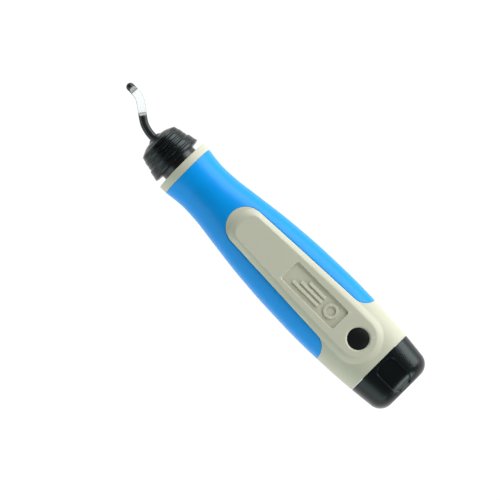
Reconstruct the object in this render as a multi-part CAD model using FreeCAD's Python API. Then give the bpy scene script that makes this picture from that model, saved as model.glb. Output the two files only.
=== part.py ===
import FreeCAD, Part
import math
import os

# Hand deburring tool with a swivelling hook blade, a pull-back nose collar, a two-colour handle
# and a push-button end cap that carries a tray of spare blades. Millimetres.
# +X points at the blade, +Z at the push button, and Y runs across the handle. The frame's origin
# is under the middle of the tool's length, on the lower flat. Every shape below is drawn about the
# tool's own axis and lifted by FLAT when it is written out.

V = FreeCAD.Vector
X_AXIS = V(1, 0, 0)
Z_AXIS = V(0, 0, 1)

# --- driving dimensions -------------------------------------------------------------------------
HALF_LENGTH = 78.1     # blade tip and cap end, either side of the origin
FLAT = 12.6            # height of the axis above the lower flat, and of the upper flat above it
RING_FRONT = 41.7      # front face of the handle
SLEEVE_FRONT = 38.5    # front edge of the rubber grip, behind the moulded ring
SLEEVE_REAR = -46.1    # rear edge of the grip on the handle's sides
SLEEVE_DEPTH = 1.6     # thickness of the rubber
SEAM = -63.7           # joint between handle and end cap
SEAM_GAP = 0.15        # shadow gap at the seam

# Handle sections: place along X, half width, half height, and roundness (2 is an ellipse)
SECTIONS = (
    (RING_FRONT, 11.62, 11.62, 2.0),
    (SLEEVE_FRONT, 11.55, 11.55, 2.0),
    (35.0, 11.10, 11.10, 2.0),
    (30.0, 10.70, 10.70, 2.0),
    (24.0, 10.95, 10.80, 2.02),
    (13.0, 12.32, 11.20, 2.15),
    (-3.0, 14.25, 11.65, 2.35),
    (-20.0, 15.40, 11.95, 2.5),
    (-36.0, 15.78, 12.05, 2.55),
    (-51.0, 15.33, 11.95, 2.55),
    (SEAM, 14.45, 11.70, 2.55),
)
CAP_SECTIONS = (
    (SEAM - SEAM_GAP, 14.43, 11.68, 2.55),
    (-69.0, 13.92, 11.50, 2.55),
    (-74.0, 13.38, 11.25, 2.55),
    (-HALF_LENGTH, 12.95, 11.00, 2.55),
)
CAP_CORNER = 4.9
CAP_WALL = 2.6
THUMB_FRONT = -64.9    # thumb recess over the top of the cap
THUMB_HALF_WIDTH = 4.55
THUMB_CORNER = 2.6
THUMB_DEPTH = 1.1
THUMB_LOW = 2.0

# Flat pad on the top and bottom of the handle, and the grip's window around it
PAD_HALF_WIDTH = 7.05
PAD_NOSE = 9.8         # front end of the flat
PAD_NOSE_CORNER = (5.6, 5.57)  # the flat's sides start here and widen evenly to the rear
PAD_REAR_CENTRE = -51.4
WINDOW_NOSE_CENTRE = 7.5
WINDOW_NOSE_RADIUS = 7.8
WINDOW_REAR = -40.1
WINDOW_REAR_HALF_WIDTH = 9.95
WINDOW_FLARE_RADIUS = 6.0
PAD_SLOPE_DROP = 2.8   # the pad's sides slope down by this to the window's edge
PAD_INSIDE = 0.1       # gap between the foot of the slope and the window's edge
BULGE = 0.02           # slight outward bow of the pad's long sides

# Recessed panel with a raised ring and bars
PANEL_X = (-42.7, -15.2)
PANEL_HALF_WIDTH = 4.65
PANEL_CORNER = 1.2
PANEL_DEPTH = 0.75
MOTIF_HEIGHT = 0.45
MOTIF_RING_X = -37.4
MOTIF_RING_RADII = (2.9, 1.9)
BAR_START = -32.6
BAR_LENGTHS = (13.5, 11.0, 8.5)
BAR_PITCH = 2.0
BAR_HALF_WIDTH = 0.55
BAR_CORNER = 0.45

# Push button
BUTTON_X = -52.0
BUTTON_HOLE_RADIUS = 4.25
BUTTON_CHAMFER = 0.6
BUTTON_CROWN = 0.75
BUTTON_RIM_Z = FLAT - 0.55
SHOULDER_Z = 9.5       # the button's flange stops under this shoulder
FLANGE_TOP = SHOULDER_Z - 0.1
FLANGE_LOW = SHOULDER_Z - 1.1
CHAMBER_RADIUS = 5.6
STEM_RADIUS = 1.6

# Rear pocket and blade tray
POCKET_FRONT = -8.0
POCKET_HALF_WIDTH = 8.5
POCKET_FLOOR = -8.0
POCKET_ROOF = 4.5
RETAINER_TOP = POCKET_ROOF + 0.9
CORE_OUT_RADIUS = 6.0  # round hollow ahead of the pocket
CORE_OUT_FRONT = 17.0
PLUG_FRONT = -60.85    # front face of the cap's plug, inside the pocket
PLUG_REAR = -75.0
TRAY_X = (PLUG_FRONT, -11.0)
TRAY_HALF_WIDTH = 8.3
TRAY_Z = (-7.8, 2.8)
TRAY_WALL = 1.1
LATCH_NOTCH_X = -44.0  # notch in the pocket's roof that the latch spring catches
LATCH_NOTCH_REACH = (1.2, 3.4, 1.6)  # reach of the notch from its middle along X, Y and up
LATCH_HALF_WIDTH = 2.8
LATCH_PEAK = 5.5       # top of the hook in the notch
LATCH_FOOT = 0.8
LATCH_TOP = 3.95       # top of the latch leaf, just under the button's stem
LATCH_THICKNESS = 0.4
LATCH_SCREW_Z = 2.15
SCREW_RADIUS = 1.0
SCREW_Y = (-5.0, 5.0)
SCREW_Z = -3.6

# Nose: bush, barrel, collar and cam
BUSH_RADIUS = 7.0
BUSH_REAR = 28.0
SPIGOT_BORE_END = 22.0
NECK_RADIUS = 7.95
FLANGE_RADIUS = 8.35
FLANGE_X = (45.4, 46.5)
SEAT_BORE_RADIUS = 5.7
SKIRT_RADIUS = 8.4
BARREL_RADIUS = 3.4
BARREL_SEAT = 43.0
BARREL_REAR = 23.6
BARREL_TIP = 56.8
BARREL_FLANGE_RADIUS = 5.2
BARREL_FLANGE_FRONT = BARREL_SEAT + 0.9
BORE_RADIUS = 1.64
BORE_END = (41.0, 40.2)  # the bore's straight wall and its drilled point
WASHER_RADIUS = 6.2
WASHER_REAR = BUSH_REAR - 0.8
NUT_FLATS = 10.0
NUT_THICKNESS = 3.0
COLLAR_REAR = 44.05
COLLAR_FRONT = 55.9
COLLAR_TRAVEL = 2.2
SHOULDER_X = 49.0      # front end of the collar's wide bore
CLIP_GROOVE_X = (44.55, 45.35)
CLIP_GROOVE_RADIUS = 9.25
CAM_X = (50.0, 53.4)
CAM_RADIUS = 6.2
CAM_LAND = 3.6
CAM_OPEN = 4.44
RUNNING = 0.05         # radial running clearance
SEATED = 0.02          # radial clearance of a seated piece

# Lock balls, one every third of a turn
BALL_RADIUS = 1.2
BALL_X = 51.0
BALL_CENTRE_RADIUS = 2.33
BALL_COUNT = 3

# Coil springs: coil radius, wire diameter, turns
COLLAR_COIL = (4.5, 0.7, 4.5)
BUTTON_COIL = (3.4, 0.45, 3)

# Blade
SHANK_RADIUS = 1.6
SHANK_END = 44.2
THRUST_BALL_RADIUS = 1.55
GROOVE_ROOT = 1.05
GROOVE_HALF_WIDTH = 1.35
HOOK_PATH = ((57.5, 0.0), (62.0, -0.85), (64.9, -2.5), (68.7, -5.35), (71.6, -6.95), (76.5, -7.35))
GROUND_X = (65.4, 75.0)
GROUND_Z = 0.55
SPARE_OFFSETS = ((-99.0, 5.45), (-100.6, 2.1))  # from the fitted blade to the two in the tray

os.makedirs("parts", exist_ok=True)


def write(name, shape):
    """Lift a finished shape onto the lower flat and write it as one sub-part."""
    placed = shape.copy()
    placed.translate(V(0, 0, FLAT))
    placed.exportStep("parts/" + name + ".step")


def solid_of(shape):
    """The largest solid of a result that should hold just one."""
    return max(shape.Solids, key=lambda s: s.Volume)


def rod(radius, x0, x1, y=0.0, z=0.0):
    """Cylinder along X."""
    return Part.makeCylinder(radius, x1 - x0, V(x0, y, z), X_AXIS)


def post(radius, z0, z1, x=0.0, y=0.0):
    """Cylinder along Z."""
    return Part.makeCylinder(radius, z1 - z0, V(x, y, z0), Z_AXIS)


def block(x0, x1, y0, y1, z0, z1):
    return Part.makeBox(x1 - x0, y1 - y0, z1 - z0, V(x0, y0, z0))


def turned(points):
    """Solid of revolution about the tool's axis from (x, radius) points."""
    outline = Part.makePolygon([V(x, r, 0) for x, r in points] + [V(points[0][0], points[0][1], 0)])
    return Part.Face(outline).revolve(V(0, 0, 0), X_AXIS, 360)


def section_wire(x, half_width, half_height, roundness, inset=0.0):
    """Closed smooth section: a superellipse through evenly spaced angles."""
    count = 24
    points = []
    for i in range(count):
        c = math.cos(2 * math.pi * i / count)
        s = math.sin(2 * math.pi * i / count)
        swell = (abs(c) ** roundness + abs(s) ** roundness) ** (-1 / roundness)
        points.append(V(x, (half_width - inset) * c * swell, (half_height - inset) * s * swell))
    curve = Part.BSplineCurve()
    curve.interpolate(Points=points, PeriodicFlag=True)
    return Part.Wire([curve.toShape()])


def hull(sections, inset=0.0):
    """Smooth solid through the sections, shrunk evenly by inset."""
    wires = [section_wire(x, w, h, n, inset) for x, w, h, n in sections]
    return Part.makeLoft(wires, True, False)


def outline_wire(nose_centre, nose_radius, side, rear_half_width, z):
    """Closed pad outline: round nose, side curves through three points, straight run, round rear."""
    (ax, ay), (bx, by), (cx, cy) = side
    rear_x = PAD_REAR_CENTRE
    rear_y = rear_half_width
    edges = [
        Part.Arc(V(ax, -ay, z), V(nose_centre + nose_radius, 0, z), V(ax, ay, z)).toShape(),
        Part.Arc(V(ax, ay, z), V(bx, by, z), V(cx, cy, z)).toShape(),
        Part.LineSegment(V(cx, cy, z), V(rear_x, rear_y, z)).toShape(),
        Part.Arc(V(rear_x, rear_y, z), V(rear_x - rear_y, 0, z), V(rear_x, -rear_y, z)).toShape(),
        Part.LineSegment(V(rear_x, -rear_y, z), V(cx, -cy, z)).toShape(),
        Part.Arc(V(cx, -cy, z), V(bx, -by, z), V(ax, -ay, z)).toShape(),
    ]
    return Part.Wire(edges)


def flat_outline(z):
    """Outline of the flat: a blunt round nose and sides that widen to the rear."""
    x, y = PAD_NOSE_CORNER
    middle = (0.5 * (x + WINDOW_REAR), 0.5 * (y + PAD_HALF_WIDTH) + BULGE)
    side = (PAD_NOSE_CORNER, middle, (WINDOW_REAR, PAD_HALF_WIDTH))
    return outline_wire(x, PAD_NOSE - x, side, PAD_HALF_WIDTH, z)


def window_half_width(x):
    """Half width of the grip's window behind its round nose."""
    share = (WINDOW_NOSE_CENTRE - x) / (WINDOW_NOSE_CENTRE - WINDOW_REAR)
    return WINDOW_NOSE_RADIUS + share * (WINDOW_REAR_HALF_WIDTH - WINDOW_NOSE_RADIUS)


def foot_outline(z):
    """Outline of the foot of the pad's slope, just inside the grip's window."""
    nose = WINDOW_NOSE_CENTRE
    middle = 0.5 * (nose + WINDOW_REAR)
    side = [(x, window_half_width(x) - PAD_INSIDE) for x in (nose, middle, WINDOW_REAR)]
    side[1] = (side[1][0], side[1][1] + BULGE)
    rear = WINDOW_REAR_HALF_WIDTH - PAD_INSIDE
    return outline_wire(nose, WINDOW_NOSE_RADIUS - PAD_INSIDE, side, rear, z)


def pad(up):
    """Raised pad with sloping sides, on the top (up = 1) or the bottom (up = -1)."""
    low = foot_outline(up * (FLAT - PAD_SLOPE_DROP))
    slope = Part.makeLoft([low, flat_outline(up * FLAT)], True, True)
    base = Part.Face(low).extrude(V(0, 0, -up * (FLAT - PAD_SLOPE_DROP - 6.0)))
    return slope.fuse(base)


def window(up):
    """Prism of the grip's window: round nose, widening sides, and corners that flare to the sides."""
    z = up * 4.0
    reach = 20.0
    r = WINDOW_NOSE_RADIUS
    c = WINDOW_NOSE_CENTRE
    w = WINDOW_REAR_HALF_WIDTH
    f = WINDOW_FLARE_RADIUS
    x0 = WINDOW_REAR
    diag = f * (1 - math.sqrt(0.5))
    edges = [
        Part.Arc(V(c, -r, z), V(c + r, 0, z), V(c, r, z)).toShape(),
        Part.LineSegment(V(c, r, z), V(x0, w, z)).toShape(),
        Part.Arc(V(x0, w, z), V(x0 - f + diag, w + diag, z), V(x0 - f, w + f, z)).toShape(),
        Part.LineSegment(V(x0 - f, w + f, z), V(x0 - f, reach, z)).toShape(),
        Part.LineSegment(V(x0 - f, reach, z), V(SEAM - 1, reach, z)).toShape(),
        Part.LineSegment(V(SEAM - 1, reach, z), V(SEAM - 1, -reach, z)).toShape(),
        Part.LineSegment(V(SEAM - 1, -reach, z), V(x0 - f, -reach, z)).toShape(),
        Part.LineSegment(V(x0 - f, -reach, z), V(x0 - f, -w - f, z)).toShape(),
        Part.Arc(V(x0 - f, -w - f, z), V(x0 - f + diag, -w - diag, z), V(x0, -w, z)).toShape(),
        Part.LineSegment(V(x0, -w, z), V(c, -r, z)).toShape(),
    ]
    return Part.Face(Part.Wire(edges)).extrude(V(0, 0, up * 20.0))


def rounded_panel(x0, x1, half_width, corner, z0, z1):
    """Rectangular prism with round corners in plan."""
    body = block(x0, x1, -half_width, half_width, z0, z1)
    upright = [e for e in body.Edges if abs(e.BoundBox.ZLength - (z1 - z0)) < 1e-6]
    return body.makeFillet(corner, upright)


def motif(z0, z1):
    """Raised ring and three slim bars."""
    wide, narrow = MOTIF_RING_RADII
    pieces = [post(wide, z0, z1, MOTIF_RING_X).cut(post(narrow, z0 - 1, z1 + 1, MOTIF_RING_X))]
    for i, length in enumerate(BAR_LENGTHS):
        bar = rounded_panel(BAR_START, BAR_START + length, BAR_HALF_WIDTH, BAR_CORNER, z0, z1)
        pieces.append(bar.translated(V(0, BAR_PITCH * (1 - i), 0)))
    return Part.makeCompound(pieces)


def spring(radius, wire, turns, start, length, axis):
    """Coil spring through short straight runs; axis is X or Z, start is its first seat."""
    rise = length - wire
    count = int(12 * turns)
    rings = []
    for i in range(count + 1):
        angle = 2 * math.pi * turns * i / count
        centre = V(radius * math.cos(angle), radius * math.sin(angle), wire / 2 + rise * i / count)
        sweep = 2 * math.pi * turns * radius
        heading = V(-math.sin(angle) * sweep, math.cos(angle) * sweep, rise)
        rings.append(Part.Wire([Part.Circle(centre, heading, wire / 2).toShape()]))
    coil = Part.makeLoft(rings, True, True)
    if axis == "X":
        coil.rotate(V(0, 0, 0), V(0, 1, 0), 90)
    coil.translate(start)
    return coil


# --- handle -------------------------------------------------------------------------------------
def handle_and_grip():
    outer = hull(SECTIONS)
    band = block(SLEEVE_REAR, SLEEVE_FRONT, -30, 30, -30, 30)
    grip = outer.common(band).cut(hull(SECTIONS, SLEEVE_DEPTH))
    grip = solid_of(grip.cut([window(1), window(-1)]))
    core = outer.cut(grip).fuse([pad(1), pad(-1)])
    hole = BUTTON_HOLE_RADIUS
    chamfer = BUTTON_CHAMFER
    notch = LATCH_NOTCH_X
    length, width, rise = LATCH_NOTCH_REACH
    cuts = [
        rod(BUSH_RADIUS + SEATED, SPIGOT_BORE_END, RING_FRONT + 1),
        rod(CORE_OUT_RADIUS, POCKET_FRONT - 1, CORE_OUT_FRONT),
        block(SEAM - 1, POCKET_FRONT, -POCKET_HALF_WIDTH, POCKET_HALF_WIDTH, POCKET_FLOOR, POCKET_ROOF),
        post(BUTTON_HOLE_RADIUS, SHOULDER_Z - 1, FLAT + 1, BUTTON_X),
        post(CHAMBER_RADIUS, POCKET_ROOF - 1, SHOULDER_Z, BUTTON_X),
        Part.makeCone(hole, hole + chamfer, chamfer, V(BUTTON_X, 0, FLAT - chamfer)),
        block(notch - length, notch + length, -width, width, POCKET_ROOF - 1, POCKET_ROOF + rise),
    ]
    panel_floor = FLAT - PANEL_DEPTH
    panel = rounded_panel(*PANEL_X, PANEL_HALF_WIDTH, PANEL_CORNER, panel_floor, FLAT + 1)
    panel = panel.cut(motif(panel_floor - 0.1, panel_floor + MOTIF_HEIGHT))
    core = core.cut(cuts + [panel])
    return solid_of(core), grip


# --- nose ---------------------------------------------------------------------------------------
def nose_bush():
    """Plastic bush: spigot in the handle, neck, and a front flange that guides the collar."""
    return turned([
        (BUSH_REAR, BARREL_RADIUS + SEATED),
        (BUSH_REAR, BUSH_RADIUS - 0.5),
        (BUSH_REAR + 0.5, BUSH_RADIUS),
        (RING_FRONT, BUSH_RADIUS),
        (RING_FRONT, NECK_RADIUS),
        (FLANGE_X[0], NECK_RADIUS),
        (FLANGE_X[0], FLANGE_RADIUS),
        (FLANGE_X[1], FLANGE_RADIUS),
        (FLANGE_X[1], SEAT_BORE_RADIUS),
        (BARREL_SEAT, SEAT_BORE_RADIUS),
        (BARREL_SEAT, BARREL_RADIUS + SEATED),
    ])


def blade_barrel():
    """Steel barrel: bore for the blade shank, a seat flange, ball holes and a plain rear stud."""
    body = turned([
        (BARREL_REAR, 0),
        (BARREL_REAR, BARREL_RADIUS - 0.4),
        (BARREL_REAR + 0.4, BARREL_RADIUS),
        (BARREL_SEAT, BARREL_RADIUS),
        (BARREL_SEAT, BARREL_FLANGE_RADIUS),
        (BARREL_FLANGE_FRONT, BARREL_FLANGE_RADIUS),
        (BARREL_FLANGE_FRONT, BARREL_RADIUS),
        (COLLAR_FRONT - 0.1, BARREL_RADIUS),
        (BARREL_TIP, 2.0),
        (BARREL_TIP, BORE_RADIUS),
        (BORE_END[0], BORE_RADIUS),
        (BORE_END[1], 0),
    ])
    holes = []
    for i in range(BALL_COUNT):
        hole = post(BALL_RADIUS + SEATED, 0.5, 5.0, BALL_X)
        hole.rotate(V(0, 0, 0), X_AXIS, 360.0 * i / BALL_COUNT)
        holes.append(hole)
    return solid_of(body.cut(holes))


def lock_ball(index):
    ball = Part.makeSphere(BALL_RADIUS, V(BALL_X, 0, BALL_CENTRE_RADIUS))
    ball.rotate(V(0, 0, 0), X_AXIS, 360.0 * index / BALL_COUNT)
    return ball


def barrel_washer():
    hole = rod(BARREL_RADIUS + 0.1, WASHER_REAR - 1, BUSH_REAR + 1)
    return rod(WASHER_RADIUS, WASHER_REAR, BUSH_REAR).cut(hole)


def barrel_nut():
    """Hexagon nut behind the washer."""
    corner = NUT_FLATS / 2 / math.cos(math.pi / 6)
    rear = WASHER_REAR - NUT_THICKNESS
    ring = [V(rear, corner * math.cos(math.pi * i / 3), corner * math.sin(math.pi * i / 3)) for i in range(7)]
    hexagon = Part.Face(Part.makePolygon(ring)).extrude(V(NUT_THICKNESS, 0, 0))
    return hexagon.cut(rod(BARREL_RADIUS + SEATED, rear - 1, BUSH_REAR))


def release_collar():
    """Hollow ribbed collar: three tiers with grooves, guided by the bush flange and the barrel."""
    guide = BARREL_RADIUS + RUNNING
    relief_front = BALL_X + BALL_RADIUS + COLLAR_TRAVEL + 0.2
    outer = [
        (COLLAR_REAR, SKIRT_RADIUS), (44.4, 10.8),
        (45.6, 10.58), (46.1, 10.1), (46.6, 10.38), (47.9, 10.1),
        (48.3, 9.55), (48.8, 9.5), (49.1, 9.1), (49.5, 9.38), (50.1, 9.28),
        (50.4, 8.85), (50.8, 9.15), (51.7, 9.0),
        (52.3, 8.6), (52.7, 8.2), (53.1, 8.5), (53.6, 8.4),
        (54.3, 7.3), (54.7, 6.5), (55.3, 5.75), (COLLAR_FRONT, 3.9), (COLLAR_FRONT, guide),
    ]
    inner = [
        (relief_front, guide), (relief_front, CAM_OPEN), (CAM_X[1], CAM_OPEN),
        (CAM_X[1], CAM_RADIUS), (SHOULDER_X, CAM_RADIUS), (SHOULDER_X, SKIRT_RADIUS),
        (CLIP_GROOVE_X[1], SKIRT_RADIUS), (CLIP_GROOVE_X[1], CLIP_GROOVE_RADIUS),
        (CLIP_GROOVE_X[0], CLIP_GROOVE_RADIUS), (CLIP_GROOVE_X[0], SKIRT_RADIUS),
    ]
    return turned(outer + inner)


def cam_ring():
    """Hardened ring in the collar; its land holds the balls in and its taper lets them out."""
    ramp_start = BALL_X - 0.1
    return turned([
        (CAM_X[0], CAM_LAND),
        (CAM_X[0], CAM_RADIUS),
        (CAM_X[1], CAM_RADIUS),
        (CAM_X[1], CAM_OPEN),
        (ramp_start + 2.4, CAM_OPEN),
        (ramp_start, CAM_LAND),
    ])


def collar_circlip():
    """Open snap ring in the collar's skirt; it stops on the back of the bush flange."""
    rear, front = CLIP_GROOVE_X
    inner_radius = NECK_RADIUS + 0.1
    half_gap = 1.8
    outer = rod(CLIP_GROOVE_RADIUS - RUNNING, rear + RUNNING, front - RUNNING)
    ring = outer.cut(rod(inner_radius, rear - 1, front + 1))
    return solid_of(ring.cut(block(rear - 1, front + 1, -half_gap, half_gap, -10, 0)))


def blade():
    """Round shank with a ball groove, bent into a hook with a flat ground top and a domed tip."""
    bend = Part.BSplineCurve()
    start = V(1, 0, 0)
    bend.interpolate(Points=[V(x, y, 0) for x, y in HOOK_PATH], InitialTangent=start, FinalTangent=start)
    path = Part.Wire([bend.toShape()])
    section = Part.Wire([Part.makeCircle(SHANK_RADIUS, V(HOOK_PATH[0][0], 0, 0), X_AXIS)])
    hook = path.makePipeShell([section], True, False)
    shank = rod(SHANK_RADIUS, SHANK_END, HOOK_PATH[0][0])
    rear = BALL_X - GROOVE_HALF_WIDTH
    front = BALL_X + GROOVE_HALF_WIDTH
    groove = turned([
        (rear, SHANK_RADIUS + 1), (rear, SHANK_RADIUS), (BALL_X - 0.5, GROOVE_ROOT),
        (BALL_X + 0.5, GROOVE_ROOT), (front, SHANK_RADIUS), (front, SHANK_RADIUS + 1),
    ])
    tip = Part.makeSphere(SHANK_RADIUS, V(HOOK_PATH[-1][0], HOOK_PATH[-1][1], 0))
    body = shank.cut(groove).fuse([hook, tip]).removeSplitter()
    ground = block(GROUND_X[0], GROUND_X[1], -12, 3, GROUND_Z, 4)
    ends = [e for e in ground.Edges if e.BoundBox.YLength > 14 and e.BoundBox.ZMax < GROUND_Z + 0.01]
    ground = ground.makeFillet(1.0, ends)
    return solid_of(body.cut(ground))


# --- button -------------------------------------------------------------------------------------
def release_button():
    """Domed button with a flange under the shoulder and a stem that reaches the latch."""
    head_radius = BUTTON_HOLE_RADIUS - 0.08
    dome_radius = (head_radius ** 2 + BUTTON_CROWN ** 2) / (2 * BUTTON_CROWN)
    dome = Part.makeSphere(dome_radius, V(BUTTON_X, 0, BUTTON_RIM_Z + BUTTON_CROWN - dome_radius))
    head = post(head_radius, FLANGE_TOP - 0.1, FLAT + 2, BUTTON_X).common(dome)
    flange = post(CHAMBER_RADIUS - 0.2, FLANGE_LOW, FLANGE_TOP, BUTTON_X)
    stem = post(STEM_RADIUS, LATCH_TOP + 0.1, FLANGE_LOW + 0.1, BUTTON_X)
    return solid_of(head.fuse([flange, stem]).removeSplitter())


def button_retainer():
    ring = post(CHAMBER_RADIUS - SEATED, POCKET_ROOF, RETAINER_TOP, BUTTON_X)
    return ring.cut(post(STEM_RADIUS + 0.3, POCKET_ROOF - 1, RETAINER_TOP + 1, BUTTON_X))


# --- end cap and tray ---------------------------------------------------------------------------
def end_cap():
    """Cap with a rounded end, a thumb recess over its top, and a plug that enters the pocket."""
    outer = hull(CAP_SECTIONS)
    end_edges = [e for e in outer.Edges if e.BoundBox.XMax < -HALF_LENGTH + 0.01]
    outer = outer.makeFillet(CAP_CORNER, end_edges)
    end, *last_section = CAP_SECTIONS[-1]
    core = hull(CAP_SECTIONS[:-1] + ((end + THUMB_DEPTH, *last_section),), THUMB_DEPTH)
    core_edges = [e for e in core.Edges if e.BoundBox.XMax < end + THUMB_DEPTH + 0.01]
    core = core.makeFillet(CAP_CORNER - THUMB_DEPTH, core_edges)
    thumb = rounded_panel(-HALF_LENGTH - 12, THUMB_FRONT, THUMB_HALF_WIDTH, THUMB_CORNER, THUMB_LOW, 20.0)
    recess = thumb.cut(core)
    inside = hull(CAP_SECTIONS[:-1], CAP_WALL)
    body = outer.cut([recess, inside])
    plug_top = POCKET_ROOF - 0.2
    plug = block(PLUG_REAR, PLUG_FRONT, -TRAY_HALF_WIDTH, TRAY_HALF_WIDTH, TRAY_Z[0], plug_top)
    body = body.fuse(plug)
    hollow = block(PLUG_REAR + 3, PLUG_FRONT + 1, -3.4, 3.4, -6.2, 0.2)
    hole_end = PLUG_REAR + 6
    holes = [rod(SCREW_RADIUS + SEATED, hole_end, PLUG_FRONT + 1, y, SCREW_Z) for y in SCREW_Y]
    holes.append(rod(SCREW_RADIUS + SEATED, hole_end, PLUG_FRONT + 1, 0, LATCH_SCREW_Z))
    return solid_of(body.cut([hollow] + holes))


def blade_magazine():
    """Open-topped tray on the front of the cap's plug."""
    x0, x1 = TRAY_X
    z0, z1 = TRAY_Z
    side = TRAY_HALF_WIDTH
    wall = TRAY_WALL
    body = block(x0, x1, -side, side, z0, z1)
    inside = block(x0 + wall, x1 - wall, -side + wall, side - wall, z0 + wall, z1 + 1)
    latch_gap = block(x0 - 1, x0 + 3, -3.2, 3.2, 0.4, z1 + 1)
    holes = [rod(SCREW_RADIUS + 0.1, x0 - 1, x0 + 3, y, SCREW_Z) for y in SCREW_Y]
    return solid_of(body.cut([inside, latch_gap] + holes))


def screw(seat, length, head_radius, y, z):
    """Pan-head screw along X: the head's underside is at seat, and the shank runs back from it."""
    head = rod(head_radius, seat, seat + 1.1, y, z)
    rim = [e for e in head.Edges if abs(e.BoundBox.XMin - seat - 1.1) < 1e-6 and e.BoundBox.XLength < 1e-6]
    head = head.makeFillet(0.4, rim)
    slot = block(seat + 0.6, seat + 2, y - head_radius, y + head_radius, z - 0.25, z + 0.25)
    return solid_of(head.fuse(rod(SCREW_RADIUS, seat - length, seat, y, z)).cut(slot))


def magazine_screws():
    """Two screws through the tray's rear wall into the plug."""
    return Part.makeCompound([screw(TRAY_X[0] + TRAY_WALL, 6.0, 1.8, y, SCREW_Z) for y in SCREW_Y])


def latch_spring():
    """Leaf on the plug's face: it runs forward over the tray and its hook sits in the roof's notch."""
    top = LATCH_TOP
    low = top - LATCH_THICKNESS
    foot = PLUG_FRONT
    inner = foot + LATCH_THICKNESS
    x = LATCH_NOTCH_X
    peak = LATCH_PEAK
    profile = [
        (foot, LATCH_FOOT), (foot, top), (x - 1.0, top), (x - 0.5, peak), (x + 0.5, peak), (x + 1.0, top),
        (x + 4.0, top), (x + 4.0, low), (x + 0.73, low), (x + 0.23, peak - 0.4), (x - 0.23, peak - 0.4),
        (x - 0.73, low), (inner, low), (inner, LATCH_FOOT), (foot, LATCH_FOOT),
    ]
    face = Part.Face(Part.makePolygon([V(px, -LATCH_HALF_WIDTH, pz) for px, pz in profile]))
    leaf = face.extrude(V(0, 2 * LATCH_HALF_WIDTH, 0))
    return solid_of(leaf.cut(rod(SCREW_RADIUS + 0.1, foot - 1, foot + 1, 0, LATCH_SCREW_Z)))


def latch_screw():
    return screw(PLUG_FRONT + LATCH_THICKNESS, 5.0, 1.3, 0, LATCH_SCREW_Z)


def spare_blades():
    """Two spare blades nested side by side on the tray's floor."""
    level = TRAY_Z[0] + TRAY_WALL + SHANK_RADIUS + 0.05
    outer = blade()
    outer.translate(V(*SPARE_OFFSETS[0], level))
    inner = blade()
    inner.translate(V(*SPARE_OFFSETS[1], level))
    return Part.makeCompound([outer, inner])


# --- assembly -----------------------------------------------------------------------------------
core, grip = handle_and_grip()
write("handle_core", core)
write("grip_sleeve", grip)
write("nose_bush", nose_bush())
write("blade_barrel", blade_barrel())
write("barrel_washer", barrel_washer())
write("barrel_nut", barrel_nut())
write("thrust_ball", Part.makeSphere(THRUST_BALL_RADIUS, V(SHANK_END - THRUST_BALL_RADIUS - 0.02, 0, 0)))
for number in range(BALL_COUNT):
    write("lock_ball_%d" % (number + 1), lock_ball(number))
write("blade", blade())
write("release_collar", release_collar())
write("cam_ring", cam_ring())
write("collar_circlip", collar_circlip())
collar_seat = BARREL_FLANGE_FRONT + RUNNING
write("collar_spring", spring(*COLLAR_COIL, V(collar_seat, 0, 0), CAM_X[0] - RUNNING - collar_seat, "X"))
write("release_button", release_button())
button_seat = RETAINER_TOP + SEATED
button_room = FLANGE_LOW - SEATED - button_seat
write("button_spring", spring(*BUTTON_COIL, V(BUTTON_X, 0, button_seat), button_room, "Z"))
write("button_retainer", button_retainer())
write("end_cap", end_cap())
write("blade_magazine", blade_magazine())
write("magazine_screws", magazine_screws())
write("latch_spring", latch_spring())
write("latch_screw", latch_screw())
write("spare_blades", spare_blades())
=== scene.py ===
import bisect
import bmesh
import bpy
import math
from mathutils import Matrix, Vector


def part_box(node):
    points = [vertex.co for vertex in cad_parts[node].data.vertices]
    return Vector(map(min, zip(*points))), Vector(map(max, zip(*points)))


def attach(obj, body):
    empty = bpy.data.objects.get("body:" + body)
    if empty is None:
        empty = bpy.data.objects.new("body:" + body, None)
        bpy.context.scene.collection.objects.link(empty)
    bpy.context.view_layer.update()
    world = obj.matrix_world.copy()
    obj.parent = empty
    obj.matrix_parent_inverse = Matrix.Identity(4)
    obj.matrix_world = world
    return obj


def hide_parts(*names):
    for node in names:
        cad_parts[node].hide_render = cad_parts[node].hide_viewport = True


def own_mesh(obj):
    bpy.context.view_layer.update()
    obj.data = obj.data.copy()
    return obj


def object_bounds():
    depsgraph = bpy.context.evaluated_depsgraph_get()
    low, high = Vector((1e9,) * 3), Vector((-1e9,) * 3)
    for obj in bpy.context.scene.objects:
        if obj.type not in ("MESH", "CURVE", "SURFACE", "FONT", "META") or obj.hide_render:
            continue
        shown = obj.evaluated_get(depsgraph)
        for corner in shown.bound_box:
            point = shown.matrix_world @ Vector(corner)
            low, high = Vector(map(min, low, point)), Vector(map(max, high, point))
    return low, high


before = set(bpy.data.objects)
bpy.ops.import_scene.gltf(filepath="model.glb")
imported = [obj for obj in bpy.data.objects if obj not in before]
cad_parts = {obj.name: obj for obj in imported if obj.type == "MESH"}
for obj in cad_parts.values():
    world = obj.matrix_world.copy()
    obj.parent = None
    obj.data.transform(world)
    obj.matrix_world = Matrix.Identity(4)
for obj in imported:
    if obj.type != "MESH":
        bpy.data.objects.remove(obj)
cad_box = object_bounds()

# Looks of the deburring tool. Shapes are drawn in millimetres about the tool's own axis, with +X
# towards the blade and +Z towards the push button, and are scaled and lifted onto the CAD axis.
MM = 0.001
AXIS_Z = 0.5 * (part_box("blade_barrel")[0].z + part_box("blade_barrel")[1].z)


def low(node, axis):
    """Lowest coordinate of a CAD node in millimetres, with Z counted from the tool's axis."""
    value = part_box(node)[0]["xyz".index(axis)]
    return (value - AXIS_Z * (axis == "z")) / MM


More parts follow.
